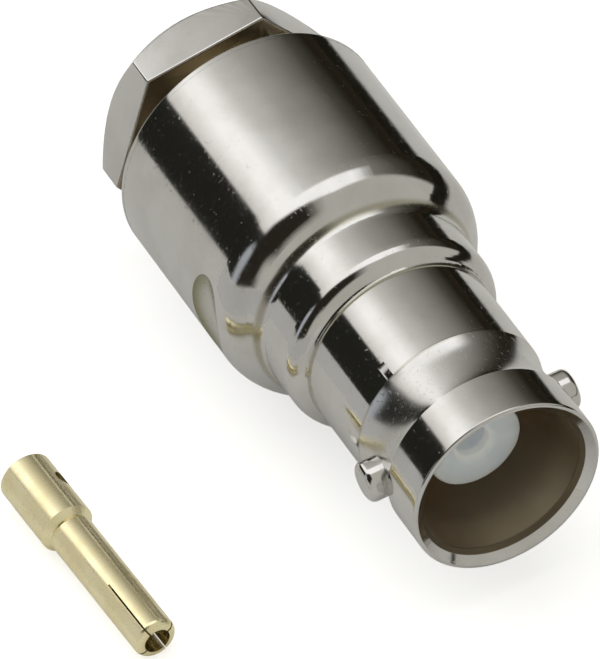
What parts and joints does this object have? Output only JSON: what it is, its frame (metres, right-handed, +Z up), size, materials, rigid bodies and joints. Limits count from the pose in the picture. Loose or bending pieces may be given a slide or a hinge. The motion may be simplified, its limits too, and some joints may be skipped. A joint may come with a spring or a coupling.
{
  "type": "bnc socket",
  "caption": "Straight bayonet coaxial cable socket with side lugs, hexagonal clamp nut, white insulators and a loose slotted gold centre contact lying beside it.",
  "frame": {"origin": "centre of the mouth face, on the connector's axis", "axes": "+X out of the mouth along the axis, +Y through one bayonet lug, +Z up as the socket lies on its large diameter"},
  "size_m": [0.0308, 0.025, 0.0136],
  "materials": {
    "nickel": "bright nickel plate over brass",
    "insulator": "white, turned, slightly waxy",
    "gasket": "plain moulded",
    "gold": "gold plate over brass"
  },
  "bodies": {
    "socket": {"socket_body": "nickel", "front_insulator": "insulator", "rear_insulator": "insulator", "braid_clamp": "nickel", "gland_gasket": "gasket", "centre_contact": "gold"},
    "washer": {"slip_washer": "nickel"},
    "nut": {"clamp_nut": "nickel"}
  },
  "joints": [
    {"name": "nut_travel", "type": "slide", "parent": "socket", "child": "washer", "axis": [-1, 0, 0], "range_m": [0, 0.00397]},
    {"name": "nut_turn", "type": "hinge", "parent": "washer", "child": "nut", "pos_m": [-0.026, 0, 0], "axis": [-1, 0, 0], "range_deg": [0, 1800]}
  ],
  "couplings": [
    {"joint": "nut_travel", "follows": "nut_turn", "m_per_rad": 0.00012633}
  ]
}
